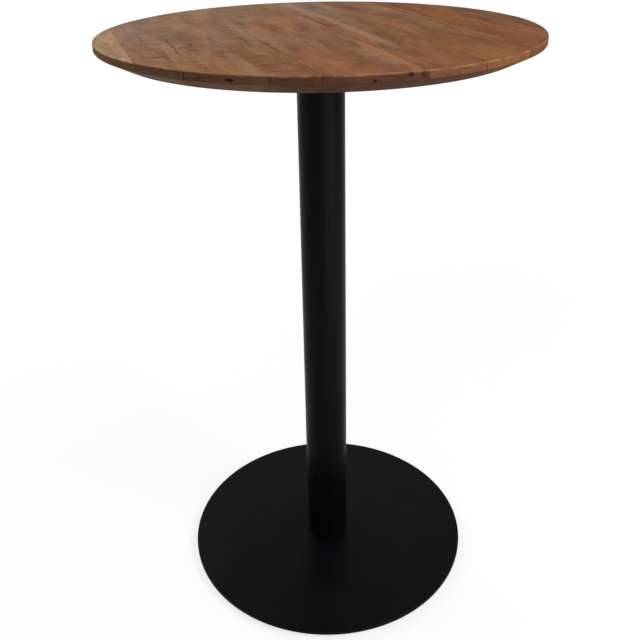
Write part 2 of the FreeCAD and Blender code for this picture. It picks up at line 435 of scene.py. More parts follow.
    def add_rings(self, sheet: Sheet, given: dict, swayed: Socket) -> Socket:
        """Adds the growth rings of a log cut lengthwise.

        Args:
            sheet: The group's sheet.
            given: The group's inputs.
            swayed: Place in the swaying grain.

        Returns:
            The mask of the darker latewood.
        """
        across, along, depth = sheet.parts(swayed)
        level = sheet.math("ADD", depth, given["Pith Depth"])
        reach = sheet.hypot(across, sheet.affine(along, given["Pith Slope"], level))
        years = sheet.math("DIVIDE", reach, given["Ring Width"])
        jitter = sheet.cloud(swayed, self.RING_JITTER)
        season = sheet.math("FRACT", sheet.affine(jitter, self.RING_JITTER_YEARS, years))
        rise = sheet.ease(season, *self.LATEWOOD_RISE)
        return sheet.times(rise, sheet.ease(season, *self.LATEWOOD_FALL))

    def add_saw_marks(self, sheet: Sheet, place: Socket) -> tuple[Socket, Socket]:
        """Adds patches of the marks that an old saw left across the grain.

        Args:
            sheet: The group's sheet.
            place: Place in the grain.

        Returns:
            The masks of the dark marks and of the pale ridges between them.
        """
        shown = sheet.times(sheet.mask(place, self.SAW_REGION), sheet.mask(place, self.SAW_PATCH))
        strokes = sheet.cloud(place, self.SAW_STROKES)
        deep = sheet.times(shown, sheet.ease(strokes, *self.SAW_DEEP_LIMITS))
        return deep, sheet.times(shown, sheet.ease(strokes, *self.SAW_RIDGE_LIMITS))

    def make_old_mark(self) -> bpy.types.NodeTree:
        """Builds a stained nail hole or knot: a ragged ellipsoid about a centre.

        Returns:
            The group: place, centre and radii in, mask out.
        """
        inputs = {"Place": ORIGIN, "Centre": ORIGIN, "Radii": (0.003, 0.003, 0.003)}
        sheet, given, out = self.start("old_mark", inputs, {"Mask": 0.0})
        offset = sheet.vector("SUBTRACT", given["Place"], given["Centre"])
        reach = sheet.measure("LENGTH", sheet.vector("DIVIDE", offset, given["Radii"]))
        ragged = sheet.math("ADD", reach, sheet.stray(given["Place"], self.RAGGED, self.RAGGED_REACH))
        sheet.feed(out.inputs["Mask"], sheet.ease(ragged, *self.MARK_LIMITS))
        return sheet.tree

    def make_hairline(self) -> bpy.types.NodeTree:
        """Builds a hairline crack: a wavering line from one point to another that thins at its ends.

        Returns:
            The group: place, start, end and width in, mask out.
        """
        inputs = {"Place": ORIGIN, "Start": ORIGIN, "End": (0.1, 0.0, 0.0), "Width": 0.001}
        sheet, given, out = self.start("hairline", inputs, {"Mask": 0.0})
        moved = sheet.sway(given["Place"], self.WAVER, self.WAVER_REACH)
        offset = sheet.vector("SUBTRACT", moved, given["Start"])
        run = sheet.vector("SUBTRACT", given["End"], given["Start"])
        length = sheet.measure("DOT_PRODUCT", run, run)
        share = sheet.math("DIVIDE", sheet.measure("DOT_PRODUCT", offset, run), length)
        held = sheet.math("MINIMUM", sheet.math("MAXIMUM", share, 0.0), 1.0)
        gap = sheet.measure("LENGTH", sheet.vector("SUBTRACT", offset, sheet.dim(run, held)))
        swell = sheet.times(sheet.times(held, sheet.math("SUBTRACT", 1.0, held)), 4.0)
        half = sheet.times(given["Width"], sheet.affine(swell, 1.0 - self.HAIRLINE_TIP, self.HAIRLINE_TIP))
        sheet.feed(out.inputs["Mask"], sheet.ease(sheet.math("DIVIDE", gap, half), *self.HAIRLINE_LIMITS))
        return sheet.tree

    def make_worn_and_highlit_rim(self) -> bpy.types.NodeTree:
        """Builds the pale line along the upper edge of the top, partly worn wood and partly a painted
        highlight on the rounded edge.

        Returns:
            The group: place, rim radius, top level and width in, mask out.
        """
        inputs = {"Place": ORIGIN, "Radius": 0.375, "Level": 1.1, "Width": 0.002}
        sheet, given, out = self.start("worn_and_highlit_rim", inputs, {"Mask": 0.0})
        across, along, level = sheet.parts(given["Place"])
        inward = sheet.math("SUBTRACT", given["Radius"], sheet.hypot(across, along))
        down = sheet.math("SUBTRACT", given["Level"], level)
        widths = sheet.math("DIVIDE", sheet.math("ADD", inward, down), given["Width"])
        worn = sheet.ease(widths, *self.PALE_EDGE_LIMITS)
        sheet.feed(out.inputs["Mask"], sheet.times(worn, sheet.mask(given["Place"], self.RUBBED_AND_LIT)))
        return sheet.tree

    def make_pebble(self) -> bpy.types.NodeTree:
        """Builds the fine pebbled skin of powder coat, plating and moulded nylon.

        Returns:
            The group: place and pebble size in, height out.
        """
        sheet, given, out = self.start("pebble", {"Place": ORIGIN, "Size": 0.0015}, {"Height": 0.0})
        sizes = sheet.vector("DIVIDE", given["Place"], given["Size"])
        coarse = sheet.cloud(sizes, self.COARSE_PEBBLE)
        fine = sheet.cloud(sizes, self.FINE_PEBBLE)
        sheet.feed(out.inputs["Height"], sheet.affine(fine, self.FINE_PEBBLE_HEIGHT, coarse))
        return sheet.tree

    def make_blotches(self) -> bpy.types.NodeTree:
        """Builds soft uneven patches, as of handling, plating or dust.

        Returns:
            The group: place and patch size in, soft mask and fine specks out.
        """
        outputs = {"Patches": 0.0, "Specks": 0.0}
        sheet, given, out = self.start("blotches", {"Place": ORIGIN, "Size": 0.05}, outputs)
        sizes = sheet.vector("DIVIDE", given["Place"], given["Size"])
        sheet.feed(out.inputs["Patches"], sheet.mask(sizes, self.BLOTCH))
        sheet.feed(out.inputs["Specks"], sheet.mask(sizes, self.SPECK))
        return sheet.tree


@dataclass(frozen=True)
class Mark:
    """Old nail hole or small knot on a board.

    Attributes:
        across: Place across the grain, as a share of the rim radius.
        along: Place along the grain, as a share of the rim radius.
        down: Depth of the centre under the top, in metres.
        radii: Half sizes across, along and up, in metres.
        strength: How dark it is, from 0 to 1.
    """

    across: float
    along: float
    down: float
    radii: Point
    strength: float


@dataclass(frozen=True)
class Split:
    """Crack in the top of a board, along the grain or at a slant to it.

    Attributes:
        start: Across and along of one end, as shares of the rim radius.
        end: Across and along of the other end, as shares of the rim radius.
        width: Greatest half width, in metres.
        depth: Greatest depth of the groove, in metres; none where the crack is a hairline.
    """

    start: tuple[float, float]
    end: tuple[float, float]
    width: float
    depth: float = 0.0


@dataclass(frozen=True)
class Band:
    """Soft band of sapwood or heartwood along a board.

    Attributes:
        place: Its middle across the grain, as a share of the rim radius.
        half: Half its width, as a share of the rim radius.
        tone: Its tone.
        near: Where it fades towards the near rim, as a share of the rim radius.
        far: Where it fades towards the far rim, as a share of the rim radius.
    """

    place: float
    half: float
    tone: Colour
    near: float = -2.0
    far: float = 2.0


@dataclass(frozen=True)
class BoardFinish:
    """Oiled old hardwood: the tones and figure of one board.

    Attributes:
        tone: Mean tone of the long grain.
        end: Cut end grain on the rim.
        shift: Where in the log the board was cut, in metres.
        weathering: Strength of the grey patches, which also carry the painted sheen towards the back-left
            light.
        embers: Strength of the orange patches.
        streaks: Strength of the dark streaks.
        saw_marks: Strength of the marks across the grain.
        under: Tone of the bevel and underside; the darker tones of the right-hand boards are painted shade.
        ring_width: Width of one year's growth, in metres.
        pith_depth: Depth of the log's heart under the board, in metres.
        pith_slope: Lean of the log's heart along the board.
        rim_wear_and_highlight: Strength of the pale line along the upper edge, partly wear and partly painted
            highlight.
        joint_grime: Strength of the dark line in the joint at the left.
        bands: Bands of another tone.
        marks: Nail holes and knots.
        splits: Cracks.
    """

    tone: Colour
    end: Colour
    shift: Point
    weathering: float = 0.35
    embers: float = 0.3
    streaks: float = 0.4
    saw_marks: float = 0.3
    under: Colour = rgb(0.085, 0.053, 0.036)
    ring_width: float = 0.006
    pith_depth: float = 0.08
    pith_slope: float = 0.1
    rim_wear_and_highlight: float = 0.5
    joint_grime: float = 0.5
    bands: tuple[Band, ...] = ()
    marks: tuple[Mark, ...] = ()
    splits: tuple[Split, ...] = ()

    # Grey of weathered wood, also laid on as painted sheen towards the back-left light
    WEATHERED_AND_SHEEN = rgb(0.34, 0.25, 0.165)
    EMBER = rgb(0.34, 0.12, 0.038)
    # Pale edge tone: partly worn wood, partly painted highlight
    WORN_AND_HIGHLIT = rgb(0.5, 0.28, 0.15)
    HOLE = rgb(0.018, 0.011, 0.008)
    HOLE_DEPTH = 3.0
    GROOVE_DARKENING = 0.45
    SHINE = 0.004
    ROUGHNESS = (0.5, 0.85)
    GRAIN_DEPTH = 0.00025
    GRAIN_STRENGTH = 0.7
    BAND_SWAY = Cloud((9.0, 3.4, 9.0), 3.0)
    BAND_SWAY_REACH = 0.05
    BAND_GRAIN = Cloud((240.0, 9.0, 240.0), 3.0)
    BAND_SHARES = (0.3, 1.0)
    CUT_GRAIN = Cloud((60.0, 30.0, 160.0), 4.0, 0.65)
    CUT_SHADES = (0.4, 1.6)
    RIM_LIMITS = (0.6, 0.95)
    RIM_SHARE = 0.88
    UNDER_LIMITS = (-0.25, -0.75)
    UNDER_SHARE = 0.75
    GRIME = Cloud((3.0, 7.0, 3.0), 3.0, 0.6, 0.36, 0.64)
    GRIME_CORE = 0.3

    def material(self, name: str, effects: Effects, top: "RoundTop", left: float) -> bpy.types.Material:
        """Makes the board's material.

        Args:
            name: Name of the material.
            effects: Shared node groups.
            top: The round top that the board belongs to.
            left: Place of the joint at the board's left, in metres across the grain.

        Returns:
            The material.
        """
        material, sheet = new_material(name)
        place = sheet.use(effects.grain_space, vector=sheet.place()).outputs[0]
        facing = sheet.use(effects.grain_space, vector=sheet.facing()).outputs[0]
        # Painted sheen across the top, lighter and greyer towards the back-left light
        fade = sheet.use(effects.painted_sheen_fade, place=place, radius=top.radius).outputs[0]
        cut = sheet.vector("ADD", place, self.shift)
        figure = sheet.use(effects.board_figure, place=cut, fade=fade, tone=self.tone, ember=self.EMBER,
                           embers=self.embers, weathered=self.WEATHERED_AND_SHEEN, weathering=self.weathering,
                           streaks=self.streaks, saw_marks=self.saw_marks, ring_width=self.ring_width,
                           pith_depth=self.pith_depth, pith_slope=self.pith_slope)
        colour = self.add_bands(sheet, figure.outputs["Color"], place, cut, top)
        colour = self.add_cut_faces(sheet, colour, cut, facing)
        # Pale upper edge: partly wear, partly a painted highlight on the rounded edge
        worn = sheet.use(effects.worn_and_highlit_rim, place=place, radius=top.radius, level=top.level,
                         width=top.wear_and_highlight_width).outputs[0]
        colour = sheet.mix(sheet.times(worn, self.rim_wear_and_highlight), colour, self.WORN_AND_HIGHLIT)
        damage = self.damage(sheet, effects, place, top, left)
        colour = sheet.mix(damage, colour, self.HOLE)
        height = sheet.affine(damage, -self.HOLE_DEPTH, figure.outputs["Height"])
        open_grain = sheet.math("MAXIMUM", figure.outputs["Openness"], damage)
        sheet.surface({"Base Color": colour, "Roughness": sheet.span(open_grain, *self.ROUGHNESS),
                       "Specular IOR Level": self.SHINE,
                       "Normal": sheet.bump(height, self.GRAIN_DEPTH, self.GRAIN_STRENGTH)})
        return material

    def add_bands(self, sheet: Sheet, colour: Socket, place: Socket, cut: Socket, top: "RoundTop") -> Socket:
        """Lays the soft bands of another tone along the board.

        Args:
            sheet: The material's sheet.
            colour: Colour so far.
            place: Place in the grain.
            cut: Place in the log.
            top: The round top.

        Returns:
            The colour with the bands.
        """
        strength = sheet.span(sheet.cloud(cut, self.BAND_GRAIN), *self.BAND_SHARES)
        across, along, _ = sheet.parts(place)
        across = sheet.math("ADD", across, sheet.stray(cut, self.BAND_SWAY, self.BAND_SWAY_REACH))
        for band in self.bands:
            shares = (band.place, band.half, band.near, band.far)
            middle, half, near, far = (share * top.radius for share in shares)
            offset = sheet.math("ABSOLUTE", sheet.math("SUBTRACT", across, middle))
            share = sheet.ease(offset, half + top.tone_blend, half - top.tone_blend)
            share = sheet.times(share, sheet.ease(along, near, near + top.band_fade))
            share = sheet.times(share, sheet.ease(along, far, far - top.band_fade))
            colour = sheet.mix(sheet.times(share, strength), colour, band.tone)
        return colour

    def add_cut_faces(self, sheet: Sheet, colour: Socket, cut: Socket, facing: Socket) -> Socket:
        """Turns the rim to the colour of end grain and the underside to bare wood.

        Args:
            sheet: The material's sheet.
            colour: Colour so far.
            cut: Place in the log.
            facing: Direction that the surface faces, in the grain.

        Returns:
            The colour with the cut faces.
        """
        up = sheet.parts(facing)[2]
        level = sheet.math("SQRT", sheet.math("SUBTRACT", 1.0, sheet.times(up, up)))
        uneven = sheet.span(sheet.cloud(cut, self.CUT_GRAIN), *self.CUT_SHADES)
        on_rim = sheet.times(sheet.ease(level, *self.RIM_LIMITS), self.RIM_SHARE)
        colour = sheet.mix(on_rim, colour, sheet.dim(self.end, uneven))
        # The bevel and underside take the board's under tone, which holds painted shade on the right-hand
        # boards
        below = sheet.times(sheet.ease(up, *self.UNDER_LIMITS), self.UNDER_SHARE)
        return sheet.mix(below, colour, sheet.dim(self.under, uneven))

    def damage(self, sheet: Sheet, effects: Effects, place: Socket, top: "RoundTop", left: float) -> Socket:
        """Gathers the cracks, nail holes and the grimy joint.

        Args:
            sheet: The material's sheet.
            effects: Shared node groups.
            place: Place in the grain.
            top: The round top.
            left: Place of the joint at the board's left, in metres across the grain.

        Returns:
            The mask of all dark damage.
        """
        gap = sheet.math("SUBTRACT", sheet.parts(place)[0], left)
        joint = sheet.ease(gap, top.joint_width, top.joint_width * self.GRIME_CORE)
        grime = sheet.times(joint, sheet.mask(place, self.GRIME))
        # Darkens the inside of the deep cracks
        groove = sheet.put("ShaderNodeAttribute", {}, attribute_name=SPLIT_LAYER).outputs["Fac"]
        masks = [sheet.times(groove, self.GROOVE_DARKENING)]
        for mark in self.marks:
            centre = (mark.across * top.radius, mark.along * top.radius, top.level - mark.down)
            spot = sheet.use(effects.old_mark, place=place, centre=centre, radii=mark.radii).outputs[0]
            masks.append(sheet.times(spot, mark.strength))
        for split in self.splits:
            start, end = (top.on_top(*point) for point in (split.start, split.end))
            line = sheet.use(effects.hairline, place=place, start=start, end=end, width=split.width)
            masks.append(line.outputs[0])
        damage = sheet.times(grime, self.joint_grime)
        for mask in masks:
            damage = sheet.math("MAXIMUM", damage, mask)
        return damage


@dataclass(frozen=True)
class Finish:
    """Finish of a metal or moulded piece: a pebbled skin with soft patches and fine specks.

    Attributes:
        name: Name of the material.
        colour: Main tone.
        patch: Tone of the patches.
        smooth: Roughness between the patches.
        rough: Roughness in the patches.
        speck: Tone of the specks; that of the patches where there is none.
        patch_share: Strength of the patches, from 0 to 1.
        speck_share: Strength of the specks, from 0 to 1.
        patch_size: Size of the patches, in metres.
        pebble_size: Size of the pebbles, in metres.
        pebble_depth: Depth of the pebbles, in metres.
        pebble_strength: How strongly the pebbles show, from 0 to 1.
        metallic: 1 for bare metal, 0 for a coat.
        shine: Specular level.
    """

    name: str
    colour: Colour
    patch: Colour
    smooth: float
    rough: float
    speck: Optional[Colour] = None
    patch_share: float = 0.6
    speck_share: float = 0.3
    patch_size: float = 0.006
    pebble_size: float = 0.0006
    pebble_depth: float = 0.00003
    pebble_strength: float = 0.4
    metallic: float = 1.0
    shine: float = 0.5

    def material(self, effects: Effects) -> bpy.types.Material:
        """Makes the finish's material.

        Args:
            effects: Shared node groups.

        Returns:
            The material.
        """
        material, sheet = new_material(self.name)
        place = sheet.place()
        blotches = sheet.use(effects.blotches, place=place, size=self.patch_size).outputs
        pebbles = sheet.use(effects.pebble, place=place, size=self.pebble_size).outputs[0]
        colour = sheet.mix(sheet.times(blotches["Patches"], self.patch_share), self.colour, self.patch)
        specks = sheet.times(blotches["Specks"], self.speck_share)
        colour = sheet.mix(specks, colour, self.speck or self.patch)
        sheet.surface({"Base Color": colour, "Metallic": self.metallic, "Specular IOR Level": self.shine,
                       "Roughness": sheet.span(blotches["Patches"], self.smooth, self.rough),
                       "Normal": sheet.bump(pebbles, self.pebble_depth, self.pebble_strength)})
        return material


POWDER_COAT = Finish("black_coat", rgb(0.0017, 0.0017, 0.0022), rgb(0.003, 0.003, 0.0038), 0.35, 0.41,
                     speck=rgb(0.02, 0.02, 0.02), patch_share=1.0, speck_share=0.4, patch_size=0.12,
                     pebble_size=0.0013, pebble_depth=0.00012, pebble_strength=0.5, metallic=0.0, shine=0.043)
NYLON = Finish("moulded_nylon", rgb(0.012, 0.012, 0.013), rgb(0.035, 0.034, 0.033), 0.45, 0.65,
               speck_share=0.0, patch_size=0.008, pebble_size=0.0005, pebble_depth=0.00004,
               pebble_strength=0.6, metallic=0.0, shine=0.3)
MILL_STEEL = Finish("mill_steel", rgb(0.32, 0.315, 0.31), rgb(0.2, 0.17, 0.14), 0.38, 0.58)
BOLT_ZINC = Finish("zinc_plate", rgb(0.58, 0.59, 0.61), rgb(0.44, 0.43, 0.4), 0.26, 0.44)
STUD_ZINC = Finish("stud_plate", rgb(0.56, 0.57, 0.59), rgb(0.42, 0.41, 0.38), 0.24, 0.42)


def dress(node: str, material: bpy.types.Material) -> None:
    """Gives a CAD node its finish and reports it.

    Args:
        node: Name of the node.
        material: Material of the finish.
    """
    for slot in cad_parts[node].material_slots:
        slot.material = material
    LOG.info("%s: %s", node, material.name)


def close_mesh(work: bmesh.types.BMesh, mesh: bpy.types.Mesh) -> bpy.types.Object:
    """Welds a piece, turns its faces outward, smooths it and puts it in the scene.

    Args:
        work: The piece's faces, which are freed.
        mesh: The mesh that takes them and names the piece.

    Returns:
        The piece.
    """
    bmesh.ops.remove_doubles(work, verts=work.verts, dist=WELD)
    bmesh.ops.dissolve_degenerate(work, edges=work.edges, dist=WELD)
    bmesh.ops.recalc_face_normals(work, faces=work.faces)
    work.to_mesh(mesh)
    work.free()
    mesh.shade_smooth()
    mesh.set_sharp_from_angle(angle=SHARP_ANGLE)
    piece = bpy.data.objects.new(mesh.name, mesh)
    bpy.context.scene.collection.objects.link(piece)
    return piece


def quarter_turn(steps: int) -> list[float]:
    """Returns the angles of a quarter turn in even steps."""
    return [0.5 * math.pi * step / steps for step in range(steps + 1)]


BOARDS = (
    # The tones of the left-hand boards, most of all board 1, are lighter and greyer partly as painted sheen
    # from the back-left light
    BoardFinish(rgb(0.502, 0.292, 0.171), rgb(0.117, 0.054, 0.024), (0.31, 4.36, 0.05),
                embers=0.1, streaks=0.15, saw_marks=0.08, joint_grime=0.3),
    BoardFinish(rgb(0.339, 0.176, 0.092), rgb(0.12, 0.066, 0.041), (0.72, 2.96, 0.11), weathering=0.45,
                embers=0.15, streaks=0.2, saw_marks=0.85, rim_wear_and_highlight=0.2, joint_grime=0.0,
                splits=(Split((-0.79, 0.2), (-0.8, -0.1), 0.0006),)),
    BoardFinish(rgb(0.314, 0.155, 0.078), rgb(0.107, 0.051, 0.03), (1.23, 8.21, 0.02), embers=0.2,
                streaks=0.2, saw_marks=0.85, rim_wear_and_highlight=0.25, joint_grime=0.1,
                bands=(Band(-0.535, 0.018, rgb(0.36, 0.22, 0.125), far=-0.2),),
                marks=(Mark(-0.608, -0.794, 0.0075, (0.0058, 0.02, 0.0024), 0.92),
                       Mark(-0.7445, -0.668, 0.007, (0.0009, 0.02, 0.009), 0.85),
                       Mark(-0.621, -0.156, 0.0, (0.003, 0.008, 0.004), 0.65)),
                splits=(Split((-0.692, 0.12), (-0.7, -0.43), 0.0006, 0.0006),
                        Split((-0.694, -0.22), (-0.621, -0.156), 0.0012),
                        Split((-0.669, -0.61), (-0.65, -0.67), 0.001))),
    # From board 4 on, the under tones darken to the right as painted shade on the bevel
    BoardFinish(rgb(0.321, 0.149, 0.069), rgb(0.084, 0.038, 0.026), (1.83, 2.78, 0.07), embers=0.1,
                streaks=0.25, saw_marks=0.85, rim_wear_and_highlight=0.45, joint_grime=0.1, under=rgb(0.062, 0.038, 0.027),
                splits=(Split((-0.386, -0.03), (-0.39, -0.3), 0.0006, 0.0008),
                        Split((-0.332, -0.1), (-0.328, -0.5), 0.0006, 0.0008))),
    BoardFinish(rgb(0.314, 0.134, 0.058), rgb(0.09, 0.04, 0.029), (2.41, 3.61, 0.04), embers=0.45,
                saw_marks=0.35, joint_grime=0.4, under=rgb(0.062, 0.038, 0.027),
                bands=(Band(0.034, 0.012, rgb(0.4, 0.185, 0.065), far=-0.1),),
                marks=(Mark(-0.145, -0.99, 0.0095, (0.0035, 0.012, 0.0026), 0.85),
                       Mark(-0.014, -1.0, 0.0038, (0.0048, 0.02, 0.0036), 0.76),
                       Mark(0.036, -1.0, 0.005, (0.005, 0.02, 0.006), 0.45))),
    BoardFinish(rgb(0.247, 0.107, 0.051), rgb(0.205, 0.081, 0.042), (3.07, 2.87, 0.03), weathering=0.45,
                embers=0.35, saw_marks=0.2, joint_grime=0.65, under=rgb(0.06, 0.038, 0.027),
                bands=(Band(0.14, 0.022, rgb(0.4, 0.25, 0.145), near=-0.8),)),
    BoardFinish(rgb(0.257, 0.115, 0.047), rgb(0.225, 0.094, 0.042), (3.62, 9.26, 0.09), weathering=0.3,
                embers=0.38, saw_marks=0.12, joint_grime=0.2, under=rgb(0.052, 0.033, 0.024),
                marks=(Mark(0.3115, -0.95, 0.006, (0.0008, 0.02, 0.009), 0.8),)),
    BoardFinish(rgb(0.234, 0.087, 0.032), rgb(0.15, 0.062, 0.032), (4.18, 8.14, 0.06), weathering=0.25,
                embers=0.12, saw_marks=0.1, streaks=0.5, rim_wear_and_highlight=0.3, joint_grime=0.15,
                under=rgb(0.05, 0.03, 0.022),
                bands=(Band(0.588, 0.014, rgb(0.34, 0.17, 0.066), near=-0.75, far=0.75),)),
    BoardFinish(rgb(0.242, 0.094, 0.039), rgb(0.07, 0.027, 0.014), (4.77, 6.18, 0.02), weathering=0.22,
                embers=0.1, saw_marks=0.1, streaks=0.5, rim_wear_and_highlight=0.0, joint_grime=0.15,
                under=rgb(0.05, 0.03, 0.022)),
)


@dataclass
class RoundTop:
    """Round top of edge-glued boards, bevelled underneath and worn along its rim.

    Lengths are in metres, angles in radians and cycles per metre. The outline is read from the frame.

    Attributes:
        column_step: Greatest space between the lines of a board's mesh.
        rim_turn: Greatest turn along the rim between two lines.
        row_step: Greatest step along a line of the top.
        seat_step: Greatest step along a line of the underside.
        joint_ease: Easing of the edges at a glue line.
        joint_width: Width of the grime in a joint.
        least_arris: Rounding of the upper edge where it is least worn.
        most_arris: Rounding of the upper edge where it is most worn.
        arris_steps: Steps of that rounding.
        bevel_steps: Steps down the bevel.
        foot_ease: Easing of the edges of the bevel.
        wear_and_highlight_width: Width of the pale line along the upper edge, partly wear and partly painted
            highlight.
        wear_waves: Cycles and strength of the waves in the rim's wear.
        tone_blend: Softness of a band's sides.
        band_fade: Length over which a band fades.
        rim_wave: Depth of the waves in the rim.
        relief: Depth of the waves in the top.
        relief_fade: Distance from the rim over which they fade.
        relief_cycles: Their cycles across and along the grain.
        groove_lines: Lines across a crack, in half widths from its middle.
        groove_clear: Half widths about a crack that hold no other lines.
        groove_bank: Share of a crack's half width that slopes.
        groove_sway: How far a crack wanders, in half widths.
        groove_reach: Half widths over which the wandering dies out.
        groove_cycles: Cycles of the wandering along and across the grain.
    """

    column_step: float = 0.004
    rim_turn: float = math.radians(1.0)
    row_step: float = 0.009
    seat_step: float = 0.03
    joint_ease: float = 0.0002
    joint_width: float = 0.0009
    least_arris: float = 0.0007
    most_arris: float = 0.0022
    arris_steps: int = 4
    bevel_steps: int = 6
    foot_ease: float = 0.0008
    wear_and_highlight_width: float = 0.0022
    wear_waves: tuple[tuple[float, float], ...] = ((6.0, 0.6), (23.0, 0.5))
    tone_blend: float = 0.009
    band_fade: float = 0.2
    rim_wave: float = 0.0005
    relief: float = 0.00014
    relief_fade: float = 0.02
    relief_cycles: tuple[float, float] = (38.0, 3.5)
    groove_lines: tuple[float, ...] = (-2.0, -1.0, -0.4, 0.4, 1.0, 2.0)
    groove_clear: float = 3.0
    groove_bank: float = 0.6
    groove_sway: float = 1.2
    groove_reach: float = 6.0
    groove_cycles: tuple[float, float] = (30.0, 50.0)

    RELIEF_SEED = 2.0
    GROOVE_SEED = 0.5

    def __post_init__(self) -> None:
        """Reads the boards' outline from the frame."""
        self.nodes = [f"top_board_{number + 1}" for number in range(len(BOARDS))]
        corners = [v.co for node in self.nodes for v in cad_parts[node].data.vertices]
        self.level = max(c.z for c in corners)
        self.underside = min(c.z for c in corners)
        self.radius = max(c.xy.length for c in corners)
        self.foot_radius = max(c.xy.length for c in corners if c.z < self.underside + WELD)
        self.rim_foot = min(c.z for c in corners if c.xy.length > self.radius - WELD)
        self.across = Vector((math.cos(GRAIN_ANGLE), math.sin(GRAIN_ANGLE), 0.0))

    def on_top(self, across: float, along: float) -> Point:
        """Returns a point of the upper face from its shares of the rim radius."""
        return (across * self.radius, along * self.radius, self.level)

    def joints_of(self, node: str) -> tuple[float, float]:
        """Returns the places of a board's two edges, across the grain."""
        places = [v.co.dot(self.across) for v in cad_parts[node].data.vertices]
        return self.snap(min(places)), self.snap(max(places))

    def inside(self, across: float) -> bool:
        """Returns whether a line lies inside the rim."""
        return abs(across) < self.radius - WELD

    def snap(self, edge: float) -> float:
        """Returns the place of an edge, exactly on the rim where it reaches the rim."""
        return edge if self.inside(edge) else math.copysign(self.radius, edge)

    def chord(self, reach: float, across: float) -> float:
        """Returns how far along the grain a line lies inside a circle about the middle."""
        return math.sqrt(max(reach ** 2 - across ** 2, 0.0))

    def build(self, effects: Effects) -> None:
        """Builds and dresses every board in place of its CAD node.

        Args:
            effects: Shared node groups.
        """
        for node, finish in zip(self.nodes, BOARDS):
            left, right = self.joints_of(node)
            board = self.make_board(f"{node}_worn", left, right, finish)
            board.data.materials.append(finish.material(f"{node}_wood", effects, self, left))
            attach(board, "table")
            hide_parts(node)
            LOG.info("%s: %d faces", board.name, len(board.data.polygons))

    def middle_of(self, split: Split) -> float:
        """Returns the place of a crack's middle across the grain."""
        return 0.5 * (split.start[0] + split.end[0]) * self.radius

    def columns(self, left: float, right: float, splits: list[Split]) -> list[float]:
        """Spaces the lines of a board's mesh that run along the grain.

        Args:
            left: Left edge of the board.
            right: Right edge of the board.
            splits: Cracks that need lines of their own.

        Returns:
            The places of the lines across the grain, in order.
        """
        first, last = (math.asin(max(-1.0, min(1.0, edge / self.radius))) for edge in (left, right))
        count = math.ceil(max((right - left) / self.column_step, (last - first) / self.rim_turn))
        plain = [self.radius * math.sin(first + (last - first) * k / count) for k in range(1, count)]
        jointed = [edge for edge in (left, right) if self.inside(edge)]
        eased = [edge + math.copysign(self.joint_ease, left + right - 2.0 * edge) for edge in jointed]
        grooves = []
        for split in splits:
            middle = self.middle_of(split)
            plain = [c for c in plain if abs(c - middle) > self.groove_clear * split.width]
            grooves += [middle + split.width * line for line in self.groove_lines]
        plain = [c for c in plain if all(abs(c - edge) > 2.0 * self.joint_ease for edge in jointed)]
        return sorted([left, right] + eased + plain + grooves)

    def wear(self, bearing: float) -> float:
        """Finds how far the rim is worn.

        Args:
            bearing: Direction from the middle, in the grain.

        Returns:
            The wear, from 0 to 1.
        """
        ring = Vector((math.cos(bearing), math.sin(bearing), 0.0))
        waves = sum(strength * noise.noise(ring * cycles) for cycles, strength in self.wear_waves)
        return max(0.0, min(1.0, 0.5 + waves))

    def upper(self, reach: float, arris: float, rim: float) -> float:
        """Returns the level of the top at a distance from the middle, rounded over at the rim."""
        past = min(max(reach - (rim - arris), 0.0), arris)
        return self.level - arris + math.sqrt(arris * arris - past * past)

    def lower(self, reach: float) -> float:
        """Returns the level of the underside at a distance from the middle."""
        slope = (self.rim_foot - self.underside) / (self.radius - self.foot_radius)
        return self.underside + slope * max(reach - self.foot_radius, 0.0)

    def rim_loop(self, across: float, side: Side, inset: float) -> list[Point]:
        """Rounds the end of a board from its top to its underside.

        Args:
            across: Place of the line across the grain.
            side: Which end.
            inset: How far the end is eased back beside a joint.

        Returns:
            Points in the grain, from the top's edge to the underside's edge.
        """
        slant = math.sqrt(max(1.0 - (across / self.radius) ** 2, 0.0))
        worn = self.wear(math.atan2(side.value * slant, across / self.radius))
        arris = self.least_arris + (self.most_arris - self.least_arris) * worn
        rim = max(self.radius - self.rim_wave * worn * slant - inset, abs(across))
        reaches = [rim - arris + arris * math.sin(turn) for turn in quarter_turn(self.arris_steps)]
        levels = [self.upper(max(reach, abs(across)), arris, rim) - inset for reach in reaches]
        reaches.append(rim)
        levels.append(self.rim_foot + self.foot_ease)
        alongs = [self.chord(reach, across) for reach in reaches]
        outer = self.chord(rim - self.foot_ease, across)
        inner = self.chord(self.foot_radius + self.foot_ease, across)
        alongs += [outer + (inner - outer) * step / self.bevel_steps for step in range(self.bevel_steps + 1)]
        alongs.append(self.chord(self.foot_radius - self.foot_ease, across))
        levels += [self.lower(math.hypot(across, along)) for along in alongs[len(levels):]]
        return [(across, side.value * along, level) for along, level in zip(alongs, levels)]

    def groove(self, across: float, along: float, splits: list[Split]) -> tuple[float, float, float]:
        """Finds what the cracks do to a point of the top.

        Args:
            across: Place across the grain.
            along: Place along the grain.
            splits: Cracks of the board.

        Returns:
            Shift across, depth, and the share of the crack's full depth.
        """
        shift = depth = share = 0.0
        for split in splits:
            middle = self.middle_of(split)
            start, end = sorted((split.start[1] * self.radius, split.end[1] * self.radius))
            run = (along - start) / (end - start)
            taper = math.sqrt(max(0.0, 4.0 * run * (1.0 - run)))
            beside = (across - middle) / split.width
            near = math.exp(-(beside / self.groove_reach) ** 2)
            spot = Vector((along * self.groove_cycles[0], middle * self.groove_cycles[1], self.GROOVE_SEED))
            shift += self.groove_sway * split.width * near * noise.noise(spot)
            cut = taper * max(0.0, min(1.0, (1.0 - abs(beside)) / self.groove_bank))
            depth = max(depth, split.depth * cut)
            share = max(share, cut)
        return shift, depth, share

